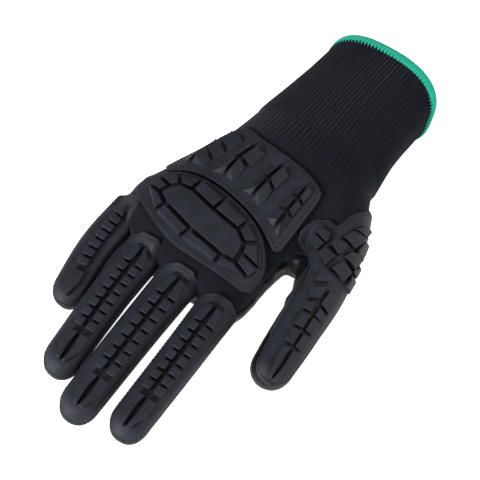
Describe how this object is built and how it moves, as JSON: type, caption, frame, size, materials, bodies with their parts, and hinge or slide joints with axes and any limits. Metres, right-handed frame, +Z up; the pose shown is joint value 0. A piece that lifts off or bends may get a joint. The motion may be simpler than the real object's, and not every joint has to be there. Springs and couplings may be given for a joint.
{
  "type": "impact work glove",
  "caption": "Right-hand knitted work glove lying palm down, with a nitrile palm coating, a ribbed cuff with an overlocked edge, and moulded rubber guards on the back and fingers.",
  "frame": {"origin": "under the middle of the glove, on the surface that it lies on", "axes": "+Y from the fingertips towards the cuff, +X towards the thumb, +Z up out of the back of the hand"},
  "size_m": [0.1316, 0.2526, 0.0529],
  "materials": {
    "knit": "fine black polyester knit, ribbed at the cuff",
    "nitrile": "semi-gloss black nitrile dip with a light crinkle",
    "binding": "green overlocked thread",
    "guard_rubber": "satin slate-black moulded thermoplastic rubber"
  },
  "bodies": {
    "root": {"knit_liner": "knit", "nitrile_coating": "nitrile", "cuff_binding": "binding", "knuckle_guard": "guard_rubber", "wrist_guard": "guard_rubber", "index_guard": "guard_rubber", "middle_guard": "guard_rubber", "ring_guard": "guard_rubber", "little_guard": "guard_rubber", "thumb_guard": "guard_rubber"}
  },
  "joints": []
}
